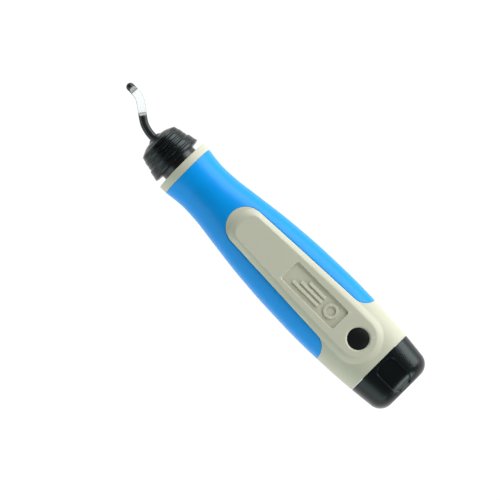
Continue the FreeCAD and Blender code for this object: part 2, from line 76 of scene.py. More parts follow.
def high(node, axis):
    """Highest coordinate of a CAD node, counted in the same way."""
    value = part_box(node)[1]["xyz".index(axis)]
    return (value - AXIS_Z * (axis == "z")) / MM


# --- places read from the frame ---
RING_FRONT = high("handle_core", "x")
SEAM = low("handle_core", "x")
FLAT = high("handle_core", "z")
SLEEVE_FRONT = high("grip_sleeve", "x")
CAP_END = low("end_cap", "x")
PLUG_FRONT = high("end_cap", "x")
BUTTON_X = 0.5 * (low("release_button", "x") + high("release_button", "x"))
BUTTON_TOP = high("release_button", "z")
COLLAR_REAR = low("release_collar", "x")
BLADE_START = low("blade", "x")
SHANK_RADIUS = high("blade", "y")

# --- handle and grip ---
RING_RADII = (11.55, 11.62)     # front ring where it meets the sleeve, and at its front face
RING_EDGES = (0.18, 0.35)       # radii of those two edges
RING_ROOT = 10.8                # its rear face starts here, under the sleeve
RING_GAP = 0.02                 # half the slant of that rear face
RING_BORE = 7.6

# Sections of the handle and cap: place along X, half width, half height, roundness
HANDLE_SECTIONS = (
    (RING_FRONT, RING_RADII[1], RING_RADII[1], 2.0),
    (SLEEVE_FRONT, RING_RADII[0], RING_RADII[0], 2.0),
    (35.0, 11.1, 11.1, 2.0),
    (30.0, 10.7, 10.7, 2.0),
    (24.0, 10.95, 10.8, 2.02),
    (13.0, 12.32, 11.2, 2.15),
    (-3.0, 14.25, 11.65, 2.35),
    (-20.0, 15.4, 11.95, 2.5),
    (-36.0, 15.78, 12.05, 2.55),
    (-51.0, 15.33, 11.95, 2.55),
    (-63.7, 14.45, 11.7, 2.55),
    (-69.0, 13.92, 11.5, 2.55),
    (-74.0, 13.38, 11.25, 2.55),
    (CAP_END, 12.95, 11.0, 2.55),
)
SLEEVE_EDGE = 0.30              # radius of the rubber's edges
CORE_EDGE = 0.20                # radius of the core's edges beside the rubber
WALL_DEPTH = 0.7                # depth of the joint between core and rubber

WINDOW_NOSE = (7.5, 7.8)        # centre along X and radius of the window's round nose
WINDOW_REAR = (-40.1, 9.95)     # end of the window's straight side
FLARE_RADIUS = 6.0              # it then flares out to the handle's side
FLARE_STEP = 0.0005             # fineness, in radians, of the search for the flare's end
EDGE_NOSE = 28                  # points round the nose, along the side and round the flare
EDGE_SIDE = 70
EDGE_FLARE = 30

PAD_NOSE = 9.8
PAD_NOSE_CORNER = (5.6, 5.57)   # the flat's sides start here and widen evenly to the rear
NOSE_BLUNTNESS = 2.5
PAD_HALF_WIDTH = 7.05
PAD_REAR_CENTRE = -51.4
PAD_LIP = 0.5                   # level margin between the flat's own face and its crease
PAD_SLOPE = 3.0                 # widest slope from the crease down to the handle's side
PAD_SOFTNESS = 0.3              # share of the slope that rounds the crease

# Spacing of the mesh in millimetres from an edge; between two edges the spacing is even
GRIP_NEAR = (0.0, 0.03, 0.08, 0.15, 0.23, 0.31, 0.5)
GRIP_MIDDLE = 26
GRIP_NEAR_SHARE = 0.4           # largest share of a short column that it takes
SHORTEST_COLUMN = 1e-3
CORE_NEAR_FLAT = (0.0, 0.25, 0.5, 0.7, 0.9, 1.15, 1.4, 1.7, 2.0, 2.35, 2.7, 3.1, 3.5, 3.9)
CORE_NEAR_EDGE = (0.0, 0.02, 0.05, 0.1, 0.15, 0.21, 0.32)
CORE_MIDDLE = 14
CORE_NEAR_REACH = 4.0           # length that the spacing at the flat takes; short columns squeeze it
CORE_NEAR_ROOM = 0.45           # and keep this much free of it
PAD_STRAIGHT_PERCENT = 45       # of the points behind the window, those on the flat's side
FRONT_COUNT = 20                # points on a quarter of the sleeve's front edge
SIDE_COUNT = 24
SEAM_COUNT = 30
RIM_COUNT = 160                 # points round the core's and the cap's rim

# --- panel, hole and pocket of the handle ---
PANEL_X = (-42.7, -15.2)
PANEL_HALF_WIDTH = 4.65
PANEL_CORNER = 1.2
PANEL_DEPTH = 0.75
PANEL_EDGE = 0.16               # radius of the panel's rim and of its floor's edge
PANEL_MARGIN = 0.8              # level band round the panel

MOTIF_HEIGHT = 0.45
MOTIF_EDGE = 0.13
MOTIF_ROOT = 0.05               # the motif starts this far under the panel's floor
MOTIF_RING = (-37.4, 1.9, 2.9)  # place along X, inner and outer radius
BAR_LENGTHS = (13.5, 11.0, 8.5)
BAR_START = -32.6
BAR_SPACING = 2.0
BAR_HALF_WIDTH = 0.55
BAR_CORNER = 0.45

HOLE_RADIUS = 4.25
HOLE_CHAMFER = 0.65
HOLE_EDGE = 0.15                # radius of the chamfer's edges
HOLE_MARGIN = 1.2               # level band round the hole
HOLE_BOTTOM = 9.5

POCKET_FRONT = -8.0
POCKET_HALF = (8.5, 6.25)       # half width and half height
POCKET_Z = -1.75                # height of the pocket's middle
POCKET_SQUARENESS = 16
POCKET_CHAMFER = 0.3

# --- end cap ---
CAP_FRONT = PLUG_FRONT - 3.0    # the cap's plug reaches this far into the handle
CAP_CORNER = 4.9
CAP_EDGE = 0.3
CAP_WALL = 2.4
CAP_FLOOR = -74.5
CAP_ROW_STEP = 0.4              # even spacing of the mesh behind the recess's front edge
CORNER_ROWS = 24
END_ROWS = 40
FLANK_COLUMNS = 24

PLUG = (8.3, -7.8, 4.3)         # half width, floor and roof of the cap's plug
PLUG_CORNER = 0.8
PLUG_CHAMFER = 0.4
PLUG_ROOT = 0.5                 # the plug starts this far behind the cap's floor

THUMB_FRONT = -64.9
THUMB_REAR = CAP_END + 0.25
THUMB_HALF_WIDTH = 4.65
THUMB_CORNER = 2.6
THUMB_DEPTH = 0.8
THUMB_WALL = 0.22               # width of the slope at the recess's edge
THUMB_FADE = 1.0                # the recess runs out over this length at its rear end
THUMB_REAR_STRETCH = 1.5        # its rear corners are shorter than the front ones by this
THUMB_TAPER_X = -74.6
THUMB_TAPER = 1.5               # behind THUMB_TAPER_X the recess narrows by this

# --- nose collar ---
# Distance from the rear, radius, rounding, and how far the groove has faded at the sides
COLLAR_RIBS = (
    (0.0, 10.3, 0.05, 0), (0.25, 10.98, 0.1, 0), (1.35, 10.72, 0.5, 0), (1.75, 10.15, 0.2, 0.42),
    (2.2, 10.1, 0.2, 0.4), (2.55, 10.48, 0.3, 0), (4.0, 10.18, 0.7, 0), (4.4, 9.5, 0.2, 0.15),
    (4.95, 9.2, 0.2, 0.35), (5.2, 9.58, 0.25, 0), (5.75, 9.48, 0.25, 0), (6.0, 8.95, 0.15, 0.38),
    (6.4, 8.85, 0.15, 0.42), (6.7, 9.32, 0.4, 0), (7.9, 9.08, 0.7, 0), (8.4, 8.3, 0.2, 0.5),
    (8.85, 8.15, 0.2, 0.55), (9.15, 8.58, 0.3, 0.05), (9.95, 8.42, 0.3, 0), (10.5, 7.35, 0.15, 0.2),
    (10.65, 6.9, 0.1, 0.2), (10.85, 6.75, 0.1, 0), (11.4, 5.6, 0.5, 0), (11.8, 4.1, 0.2, 0),
    (11.85, 3.46, 0, 0),
)
# Steps of the bore from front to rear: distance from the rear, radius
COLLAR_BORE = ((10.5, 3.46), (10.5, 4.4), (9.3, 4.4), (9.3, 6.2), (4.9, 6.2), (4.9, 8.4), (0.6, 8.4))
COLLAR_FADE_START = 0.55        # share of the half width where the grooves begin to fade
COLLAR_FADE_LENGTH = 0.4
COLLAR_COLUMNS = 144

# --- hook blade ---
HOOK_PATH = ((57.5, 0.0), (62.0, -0.85), (64.9, -2.5), (68.7, -5.35), (71.6, -6.95), (76.5, -7.35))
SHANK_END_RADIUS = 1.35
SHANK_CHAMFER = 0.25
GROOVE_X = 51.0                 # middle of the groove that the lock balls sit in
GROOVE_HALF_FLOOR = 0.5
GROOVE_HALF_TOP = 1.35
GROOVE_RADIUS = 1.05
GROUND = (8.1, 20.9)            # ground length, along the hook from its bend
GROUND_RAMPS = (1.9, 2.6)       # run-out of the grinding wheel at either end
GROUND_RAMP_POWER = 1.6
GROUND_Z = 0.55
GROUND_CLEARANCE = 0.1          # the run-out ends this far above the shank
GROUND_MARGIN = 0.06            # a face this much lower than the round shank is ground,
UPWARD_NORMAL = 0.5             # if its normal points up by more than this,
LEVEL_NORMAL = 0.99             # and it belongs to the level flat if by more than this
HOOK_FINENESS = 60              # points between two of HOOK_PATH, before even spacing
HOOK_STEPS = 180
BEND_GAP = 0.5                  # from the shank's last ring to the bend
TIP_STEPS = 14
TIP_RADIUS = 1e-4               # last ring of the domed tip, welded to a point
BLADE_SIDES = 80

# --- push button ---
BUTTON_GAP = 0.08               # between the head and its hole
BUTTON_RIM = 0.55               # the rim lies this far under the flat
BUTTON_EDGE = 0.1               # radius of the edges
BUTTON_DOME_ROWS = 20
BUTTON_FLANGE = (5.4, 8.4, 9.4)  # radius, underside and top
BUTTON_STEM = (1.6, 4.6, 4.05)  # radius, end of the straight side, end of the dome
BUTTON_STEM_EDGE = 0.3
BUTTON_LIP = (0.08, 0.03)       # the dome ends this far inside and above the rim
AXIS_RADIUS = 0.001             # smallest ring of a turned shape, closed to the eye

# --- springs and latch ---
COLLAR_COIL = (4.5, 0.7, 4.5)   # coil radius, wire diameter, turns
BUTTON_COIL = (3.4, 0.45, 3.0)
COIL_STEPS = 36                 # sections in each turn
WIRE_SIDES = 14
LEAF_TOP = 3.95
LEAF_THICKNESS = 0.4
LEAF_HALF_WIDTH = 2.8
LEAF_EDGE = 0.6                 # share of half the thickness that the edges are cut by
LEAF_BEND = 0.5                 # radius of the bend between foot and arm
LEAF_FOOT_TOP = 1.5             # the foot's straight part ends this far under the arm
LEAF_ROUND = 0.3                # radius of the hook's corners
LEAF_HOOK_BACK = 4.0            # from the tip back to the middle of the hook
LEAF_HOOK_HALF = (1.0, 0.5)     # half the hook's length, at its foot and at its peak


# --- numbers along a curve ---
def between(t, step, y0, y1, slope0, slope1):
    """Cubic from y0 to y1 over one step, leaving and arriving with the given slopes."""
    start = y0 * (1 + 2 * t) * (1 - t) ** 2 + slope0 * step * t * (1 - t) ** 2
    end = y1 * t * t * (3 - 2 * t) - slope1 * step * t * t * (1 - t)
    return start + end


def steady_curve(xs, ys):
    """Smooth function through the points that never overshoots them. xs ascend."""
    last = len(xs) - 1
    rise = [(ys[i + 1] - ys[i]) / (xs[i + 1] - xs[i]) for i in range(last)]
    slope = [rise[0]] + [0.0] * (last - 1) + [rise[-1]]
    for i in range(1, last):
        if rise[i - 1] * rise[i] > 0:
            slope[i] = 2 * rise[i - 1] * rise[i] / (rise[i - 1] + rise[i])

    def value(x):
        x = min(max(x, xs[0]), xs[-1])
        i = min(max(bisect.bisect_right(xs, x) - 1, 0), last - 1)
        step = xs[i + 1] - xs[i]
        return between((x - xs[i]) / step, step, ys[i], ys[i + 1], slope[i], slope[i + 1])

    return value


STATION_X, *STATION_SHAPES = zip(*sorted(HANDLE_SECTIONS))
half_width, half_height, roundness = [steady_curve(STATION_X, shape) for shape in STATION_SHAPES]


def skin(x, angle, inset=0.0):
    """Point on the handle's oval skin; angle 0 is the +Y side and a quarter turn is the top."""
    n = roundness(x)
    c = math.cos(angle)
    s = math.sin(angle)
    swell = (abs(c) ** n + abs(s) ** n) ** (-1 / n)
    return Vector((x, (half_width(x) - inset) * c * swell, (half_height(x) - inset) * s * swell))


def angle_at(x, y, inset=0.0):
    """Angle at which the upper skin stands over the plan point (x, y)."""
    n = roundness(x)
    across = min(abs(y) / (half_width(x) - inset), 1.0)
    up = (1 - across ** n) ** (1 / n)
    angle = math.atan2(up, across)
    return angle if y >= 0 else math.pi - angle


def smooth_step(t):
    """Rises from 0 to 1 as t does, with a level start and end."""
    t = min(max(t, 0.0), 1.0)
    return t * t * (3 - 2 * t)


def edge_drop(distance, radius):
    """How far a rounded edge has dropped at this distance inside it."""
    if distance >= radius:
        return 0.0
    rest = radius - max(distance, 0.0)
    return radius - math.sqrt(radius * radius - rest * rest)


def full_turn(count):
    """Evenly spaced angles round a full turn."""
    return [2 * math.pi * j / count for j in range(count)]


# --- making meshes ---
WELD = 1.5e-6                   # metres within which points are one
NO_LENGTH = 1e-7
AXIS_SIDES = 128                # round shapes about the tool's axis
UPRIGHT_SIDES = 96              # round the hole, the button and the motif's ring
LONGEST_ARC = 0.48              # share of a side that a rounded corner may take
SHORTEST_ARC = 1e-4             # millimetres below which a corner stays sharp


def add_object(name, data):
    """Object in the scene with this mesh, lamp or camera."""
    item = bpy.data.objects.new(name, data)
    bpy.context.scene.collection.objects.link(item)
    return item


def make_piece(name, shape, material, body, crease):
    """Mesh object from a shape in millimetres, welded, smooth and riding on a body. Edges that turn
    by more than crease degrees stay sharp."""
    mesh = bpy.data.meshes.new(name)
    points = [(p[0] * MM, p[1] * MM, p[2] * MM + AXIS_Z) for p in shape.points]
    mesh.from_pydata(points, [], shape.faces)
    work = bmesh.new()
    work.from_mesh(mesh)
    bmesh.ops.remove_doubles(work, verts=work.verts, dist=WELD)
    bmesh.ops.dissolve_degenerate(work, edges=work.edges, dist=NO_LENGTH)
    # Mirrored seams meet in the tool's middle plane; a face left lying in it is hidden inside
    hidden = [f for f in work.faces if all(abs(v.co.z - AXIS_Z) < NO_LENGTH for v in f.verts)]
    bmesh.ops.delete(work, geom=hidden, context="FACES")
    bmesh.ops.recalc_face_normals(work, faces=work.faces)
    work.to_mesh(mesh)
    work.free()
    mesh.shade_smooth()
    mesh.set_sharp_from_angle(angle=math.radians(crease))
    mesh.materials.append(material)
    piece = add_object(name, mesh)
    weights = piece.modifiers.new("even_shading", "WEIGHTED_NORMAL")
    weights.keep_sharp = True
    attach(piece, body)
    return piece


class Shape:
    """Points in millimetres about the tool's axis, and faces, gathered from several patches."""

    def __init__(self):
        self.points = []
        self.faces = []

    def grid(self, rows, closed=False):
        """Quads between rows of equal length; closed joins each row's end to its start."""
        start = len(self.points)
        width = len(rows[0])
        for row in rows:
            self.points.extend(row)
        span = width if closed else width - 1
        for i in range(len(rows) - 1):
            for j in range(span):
                a = start + i * width + j
                b = start + i * width + (j + 1) % width
                self.faces.append((a, b, b + width, a + width))

    def mirrored(self, rows, halves=(1, -1)):
        """The grid and its mirror image in Y, in the upper half (1), the lower (-1) or both."""
        for sy in (1, -1):
            for sz in halves:
                self.grid([[Vector((p.x, p.y * sy, p.z * sz)) for p in row] for row in rows])

    def fan(self, ring, centre):
        """Triangles from a closed ring to one point."""
        start = len(self.points)
        self.points.extend(ring)
        self.points.append(centre)
        count = len(ring)
        for j in range(count):
            self.faces.append((start + j, start + (j + 1) % count, start + count))

    def rod(self, rings):
        """Closed rings joined into a rod with flat ends."""
        self.grid(rings, closed=True)
        for ring in (rings[0], rings[-1]):
            self.fan(ring, sum(ring, Vector()) / len(ring))

    def fill(self, loops):
        """Flat triangles between closed loops in one level plane; inner loops are holes."""
        work = bmesh.new()
        for loop in loops:
            ring = [work.verts.new(p) for p in loop]
            for j, vert in enumerate(ring):
                work.edges.new((vert, ring[(j + 1) % len(ring)]))
        bmesh.ops.triangle_fill(work, edges=work.edges, use_beauty=True, use_dissolve=False)
        work.verts.index_update()
        start = len(self.points)
        self.points.extend(v.co.copy() for v in work.verts)
        self.faces.extend(tuple(start + v.index for v in f.verts) for f in work.faces)
        work.free()


def rounded_path(corners, steps=5):
    """Open path through (x, r, radius) corners, each rounded by an arc of its radius."""
    path = [Vector(corners[0][:2])]
    for before, corner, after in zip(corners, corners[1:], corners[2:]):
        here = Vector(corner[:2])
        back = Vector(before[:2]) - here
        ahead = Vector(after[:2]) - here
        turn = back.angle(ahead)
        reach = corner[2] / math.tan(turn / 2) if corner[2] > 0 else 0.0
        reach = min(reach, LONGEST_ARC * back.length, LONGEST_ARC * ahead.length)
        if reach < SHORTEST_ARC:
            path.append(here)
            continue
        start = here + back.normalized() * reach
        end = here + ahead.normalized() * reach
        for k in range(steps + 1):
            t = k / steps
            path.append((1 - t) ** 2 * start + 2 * t * (1 - t) * here + t * t * end)
    path.append(Vector(corners[-1][:2]))
    return path


def lathe_x(shape, path):
    """Surface of revolution about the tool's axis; the path holds (x, radius)."""
    rows = []
    for x, r in path:
        rows.append([Vector((x, r * math.cos(a), r * math.sin(a))) for a in full_turn(AXIS_SIDES)])
    shape.grid(rows, closed=True)


def circle(x, radius, z):
    """Level circle centred over the tool's axis at x."""
    turn = full_turn(UPRIGHT_SIDES)
    return [Vector((x + radius * math.cos(a), radius * math.sin(a), z)) for a in turn]


def lathe_z(shape, path, x):
    """Surface of revolution about an upright axis at x; the path holds (radius, z)."""
    shape.grid([circle(x, r, z) for r, z in path], closed=True)


# --- materials ---
EDGE_POINTINESS = (0.52, 0.62)  # where wear begins and is complete
WORN_GAIN = 1.5                 # a worn edge has the colour times this, plus the lift
WORN_LIFT = 0.05
CLOUD_SIZE = 9.0                # millimetres
SMOOTHEST = 0.03
SPECKLE_SHARE = 0.35            # share of the grain in the roughness; the clouds have the rest


def surface(name, colour, rough, metallic=0.0, grain_mm=0.25, grain=0.02, cloud=0.06, wear=0.0,
            rough_swing=0.08, glow=0.0, specular=0.5, gleam=(1, 1, 1), stretch=(1, 1, 1)):
    """Moulded or ground surface: fine grain in the bump, soft clouds in colour and roughness,
    and paler edges where handling has rubbed them. A glow can be added: on the blade's ground flat it
    is a painted highlight, and on the floor it keeps the floor evenly white."""
    material = bpy.data.materials.new(name)
    material.use_nodes = True
    nodes = material.node_tree.nodes
    link = material.node_tree.links.new

    def add(kind, **inputs):
        node = nodes.new(kind)
        for key, value in inputs.items():
            node.inputs[key.replace("_", " ")].default_value = value
        return node

    shader = nodes["Principled BSDF"]
    fixed = {"Metallic": metallic, "Emission Color": (1, 1, 1, 1), "Emission Strength": glow,
             "Specular IOR Level": specular, "Specular Tint": (*gleam, 1)}
    for key, value in fixed.items():
        shader.inputs[key].default_value = value
    place = add("ShaderNodeTexCoord")
    mapping = add("ShaderNodeMapping", Scale=stretch)
    link(place.outputs["Object"], mapping.inputs["Vector"])

    clouds = add("ShaderNodeTexNoise", Scale=1 / (CLOUD_SIZE * MM), Detail=3.0, Roughness=0.55)
    link(mapping.outputs[0], clouds.inputs["Vector"])
    speckle = add("ShaderNodeTexNoise", Scale=1 / (grain_mm * MM), Detail=2.0, Roughness=0.6)
    link(mapping.outputs[0], speckle.inputs["Vector"])

    tint = add("ShaderNodeMix")
    tint.data_type = "RGBA"
    tint.inputs["A"].default_value = [c * (1 - cloud) for c in colour] + [1]
    tint.inputs["B"].default_value = [min(c * (1 + cloud), 1) for c in colour] + [1]
    link(clouds.outputs["Fac"], tint.inputs["Factor"])
    shade = tint.outputs["Result"]
    if wear > 0:
        shape = add("ShaderNodeNewGeometry")
        start, end = EDGE_POINTINESS
        ramp = add("ShaderNodeMapRange", From_Min=start, From_Max=end, To_Max=wear)
        link(shape.outputs["Pointiness"], ramp.inputs["Value"])
        worn = add("ShaderNodeMix")
        worn.data_type = "RGBA"
        worn.inputs["B"].default_value = [min(c * WORN_GAIN + WORN_LIFT, 1) for c in colour] + [1]
        link(ramp.outputs["Result"], worn.inputs["Factor"])
        link(shade, worn.inputs["A"])
        shade = worn.outputs["Result"]
    link(shade, shader.inputs["Base Color"])

    smooth = max(rough - rough_swing, SMOOTHEST)
    gloss = add("ShaderNodeMapRange", To_Min=smooth, To_Max=min(rough + rough_swing, 1.0))
    blend = add("ShaderNodeMix")
    blend.data_type = "FLOAT"
    blend.inputs["Factor"].default_value = SPECKLE_SHARE
    link(clouds.outputs["Fac"], blend.inputs["A"])
    link(speckle.outputs["Fac"], blend.inputs["B"])
    link(blend.outputs["Result"], gloss.inputs["Value"])
    link(gloss.outputs["Result"], shader.inputs["Roughness"])

    bump = add("ShaderNodeBump", Strength=1.0, Distance=grain * MM)
    link(speckle.outputs["Fac"], bump.inputs["Height"])
    link(bump.outputs["Normal"], shader.inputs["Normal"])
    return material


GRAY = surface("handle_gray", (0.54, 0.52, 0.4), 0.52, grain_mm=0.22, grain=0.012, cloud=0.02,
               wear=0.25, specular=0.2)
BLUE = surface("grip_blue", (0.0, 0.282, 0.75), 0.34, grain_mm=0.3, grain=0.012, cloud=0.05,
               wear=0.1, specular=0.2)
BLACK = surface("satin_black", (0.002, 0.003, 0.003), 0.29, grain_mm=0.6, grain=0.055,
                rough_swing=0.12, wear=0.01, specular=0.34, gleam=(0.9, 1.0, 0.99))
NECK = surface("neck_black", (0.004, 0.004, 0.005), 0.3, grain_mm=0.35, grain=0.02, wear=0.02)
GLOSS = surface("button_black", (0.002, 0.002, 0.002), 0.3, grain_mm=1.1, grain=0.015,
                rough_swing=0.06)
DARK_STEEL = surface("blade_dark", (0.03, 0.032, 0.031), 0.36, metallic=0.6, grain_mm=0.18,
                     grain=0.006, stretch=(0.25, 1, 1))
# Ground flat of the hook: its near-white colour and faint glow are a painted highlight, as bright as the
# light the flat reflects.
GROUND_STEEL_PAINTED_SHINE = surface("blade_ground_painted_shine", (1.0, 1.0, 0.99), 0.5, metallic=0.1, grain_mm=0.12,
                       grain=0.001, stretch=(1, 0.12, 1), cloud=0.01, glow=0.19)
# Run-out of the grind: the same ground steel, given painted shade, darker than the level flat where its
# faces tilt away from level.
RUNOUT_PAINTED_SHADE = surface("blade_runout_painted_shade", (0.42, 0.41, 0.4), 0.5, metallic=0.4, grain_mm=0.12,
                       grain=0.003)
BRIGHT_STEEL = surface("bright_steel", (0.62, 0.63, 0.65), 0.28, metallic=1.0, grain_mm=0.15,
                       grain=0.004, stretch=(1, 0.2, 1))
BALL_STEEL = surface("ball_steel", (0.78, 0.79, 0.8), 0.1, metallic=1.0, grain_mm=0.5, grain=0.001)
OXIDE_STEEL = surface("black_oxide", (0.03, 0.03, 0.033), 0.35, metallic=0.7, grain_mm=0.2,
                      grain=0.006)
SPRING_STEEL = surface("spring_steel", (0.55, 0.56, 0.58), 0.25, metallic=1.0, grain_mm=0.2,
                       grain=0.003)


# --- outlines on the handle ---
def window_outline():
    """Half of the grip window's edge in plan, from the nose on the middle line to the handle's side."""
    centre, radius = WINDOW_NOSE
    rear_x, rear_y = WINDOW_REAR
    points = []
    for k in range(EDGE_NOSE):
        a = 0.5 * math.pi * k / EDGE_NOSE
        points.append((centre + radius * math.cos(a), radius * math.sin(a)))
    for k in range(EDGE_SIDE):
        t = k / EDGE_SIDE
        points.append((centre + t * (rear_x - centre), radius + t * (rear_y - radius)))

    def flare(a):
        return rear_x - FLARE_RADIUS * math.sin(a), rear_y + FLARE_RADIUS * (1 - math.cos(a))

    turn = 0.0
    while flare(turn)[1] < half_width(flare(turn)[0]):
        turn += FLARE_STEP
    for k in range(EDGE_FLARE + 1):
        points.append(flare(turn * math.sin(0.5 * math.pi * k / EDGE_FLARE)))
    return points


def flat_outline():
    """Half of the flat's own face in plan: blunt nose, then a straight side, with as many points
    as the window's nose and side."""
    x0, y0 = PAD_NOSE_CORNER
    y0 -= PAD_LIP
    reach = PAD_NOSE - PAD_LIP - x0
    end_x = WINDOW_REAR[0]
    n = NOSE_BLUNTNESS
    points = []
    for k in range(EDGE_NOSE):
        a = 0.5 * math.pi * k / EDGE_NOSE
        swell = (math.cos(a) ** n + math.sin(a) ** n) ** (-1 / n)
        points.append((x0 + reach * math.cos(a) * swell, y0 * math.sin(a) * swell))
    for k in range(EDGE_SIDE + 1):
        t = k / EDGE_SIDE
        points.append((x0 + t * (end_x - x0), y0 + t * (PAD_HALF_WIDTH - PAD_LIP - y0)))
    return points


# The window's edge as (x, angle) points on the upper skin
WINDOW = [(x, angle_at(x, y)) for x, y in window_outline()]


def off_line(point, line_point, direction):
    """Distance of a point from a line through line_point."""
    gap = point - line_point
    return (gap - gap.dot(direction) * direction).length


def tangents(curve):
    """Direction of a curve of points at each of them."""
    ends = [curve[0]] + curve + [curve[-1]]
    return [(b - a).normalized() for a, b in zip(ends, ends[2:])]


# --- rubber grip ---
def grip_rows():
    """Quarter of the grip: columns run from the window's edge to the front edge or the side."""
    edge_points = [skin(*p) for p in WINDOW]
    along = tangents(edge_points)
    outer = [(SLEEVE_FRONT, 0.5 * math.pi * (1 - k / FRONT_COUNT)) for k in range(FRONT_COUNT + 1)]
    lengths = [0.0]
    for a, b in zip(edge_points[FRONT_COUNT:], edge_points[FRONT_COUNT + 1:]):
        lengths.append(lengths[-1] + (b - a).length)
    end_x = WINDOW[-1][0]
    for run in lengths[1:]:
        outer.append((SLEEVE_FRONT + (end_x - SLEEVE_FRONT) * run / lengths[-1], 0.0))
    columns = []
    for i, (inner, far) in enumerate(zip(WINDOW, outer)):
        length = max((skin(*far) - edge_points[i]).length, SHORTEST_COLUMN)
        scale = min(1.0, GRIP_NEAR_SHARE * length / GRIP_NEAR[-1])
        near = [d * scale / length for d in GRIP_NEAR]
        gap = 1 - 2 * near[-1]
        shares = near[:-1] + [near[-1] + gap * k / GRIP_MIDDLE for k in range(GRIP_MIDDLE + 1)]
        shares += [1 - d * scale / length for d in reversed(GRIP_NEAR[:-1])]
        column = [skin(inner[0], inner[1], SLEEVE_EDGE + WALL_DEPTH)]
        for t in shares:
            x = inner[0] + t * (far[0] - inner[0])
            angle = inner[1] + t * (far[1] - inner[1])
            drop = edge_drop(SLEEVE_FRONT - x, SLEEVE_EDGE)
            if t < 0.5:
                to_window = off_line(skin(x, angle), edge_points[i], along[i])
                drop = max(drop, edge_drop(to_window, SLEEVE_EDGE))
            column.append(skin(x, angle, drop))
        if i <= FRONT_COUNT:
            column.append(skin(far[0], far[1], SLEEVE_EDGE + WALL_DEPTH))
        else:
            column.append(column[-1].copy())
        columns.append(column)
    return columns


def build_grip():
    """Rubber sleeve with its two windows, open towards the core."""
    shape = Shape()
    shape.mirrored(grip_rows())
    piece = make_piece("grip_sleeve_skin", shape, BLUE, "root", 50)
    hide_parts("grip_sleeve")


# --- handle core ---
def core_lines():
    """Lines between which a quarter of the core's columns run: the flat's own face in plan, and
    (x, angle) points on the window's edge, the handle's side and the seam."""
    inner = flat_outline()
    outer = list(WINDOW)
    side_x = outer[-1][0]
    outer += [(side_x + (SEAM - side_x) * k / SIDE_COUNT, 0.0) for k in range(1, SIDE_COUNT + 1)]
    outer += [(SEAM, 0.5 * math.pi * k / SEAM_COUNT) for k in range(1, SEAM_COUNT + 1)]
    extra = len(outer) - len(inner)
    straight = extra * PAD_STRAIGHT_PERCENT // 100
    half = PAD_HALF_WIDTH - PAD_LIP
    start_x = inner[-1][0]
    for k in range(1, straight + 1):
        inner.append((start_x + (PAD_REAR_CENTRE - start_x) * k / straight, half))
    arc = extra - straight
    for k in range(1, arc + 1):
        a = 0.5 * math.pi * k / arc
        inner.append((PAD_REAR_CENTRE - half * math.sin(a), half * math.cos(a)))
    return inner, outer


def pad_lift(gone):
    """Share of the way from the skin up to the flat, at this share of the slope's width."""
    gone = min(max(gone, 0.0), 1.0)
    soft = PAD_SOFTNESS
    fall = gone ** 2 / (2 * soft) if gone < soft else gone - soft / 2
    return max(1 - fall / (1 - soft / 2), 0.0)


def core_columns(inner, outer):
    """Columns of points over a quarter of the core, from the flat outwards."""
    outer_points = [skin(*p) for p in outer]
    along = tangents(outer_points[:len(WINDOW)])
    columns = []
    for i, (start, far) in enumerate(zip(inner, outer)):
        start_angle = angle_at(*start)
        length = (outer_points[i] - skin(start[0], start_angle)).length
        scale = min(1.0, (length - CORE_NEAR_ROOM) / CORE_NEAR_REACH)
        near = [d * scale / length for d in CORE_NEAR_FLAT]
        gap = 1 - CORE_NEAR_EDGE[-1] / length - near[-1]
        shares = near[:-1] + [near[-1] + gap * k / CORE_MIDDLE for k in range(CORE_MIDDLE + 1)]
        shares += [1 - d / length for d in reversed(CORE_NEAR_EDGE[:-1])]
        by_window = i < len(WINDOW)
        slope_width = PAD_SLOPE
        if by_window:
            slope_width = min((outer_points[i].xy - Vector(start)).length - PAD_LIP, PAD_SLOPE)
        column = []
        for t in shares:
            x = start[0] + t * (far[0] - start[0])
            angle = start_angle + t * (far[1] - start_angle)
            drop = edge_drop(x - SEAM, CORE_EDGE)
            if by_window and t > 0.5:
                to_window = off_line(skin(x, angle), outer_points[i], along[i])
                drop = max(drop, edge_drop(to_window, CORE_EDGE))
            point = skin(x, angle, drop)
            off_flat = (point.xy - Vector(start)).length - PAD_LIP
            point.z += pad_lift(off_flat / slope_width) * (FLAT - point.z)
            column.append(point)
        if by_window:
            column.append(skin(far[0], far[1], CORE_EDGE + WALL_DEPTH))
        else:
            column.append(column[-1].copy())
        columns.append(column)
    return columns


def rounded_rectangle(x0, x1, y, half, corner, grow, z, steps=7):
    """Closed level loop of a rounded rectangle centred on y, grown outward by grow."""
    radius = corner + grow
    corners = ((x1 - corner, y + half - corner, 0), (x0 + corner, y + half - corner, 1),
               (x0 + corner, y - half + corner, 2), (x1 - corner, y - half + corner, 3))
    loop = []
    for cx, cy, quarter in corners:
        for k in range(steps + 1):
            a = 0.5 * math.pi * (quarter + k / steps)
            loop.append(Vector((cx + radius * math.cos(a), cy + radius * math.sin(a), z)))
    return loop


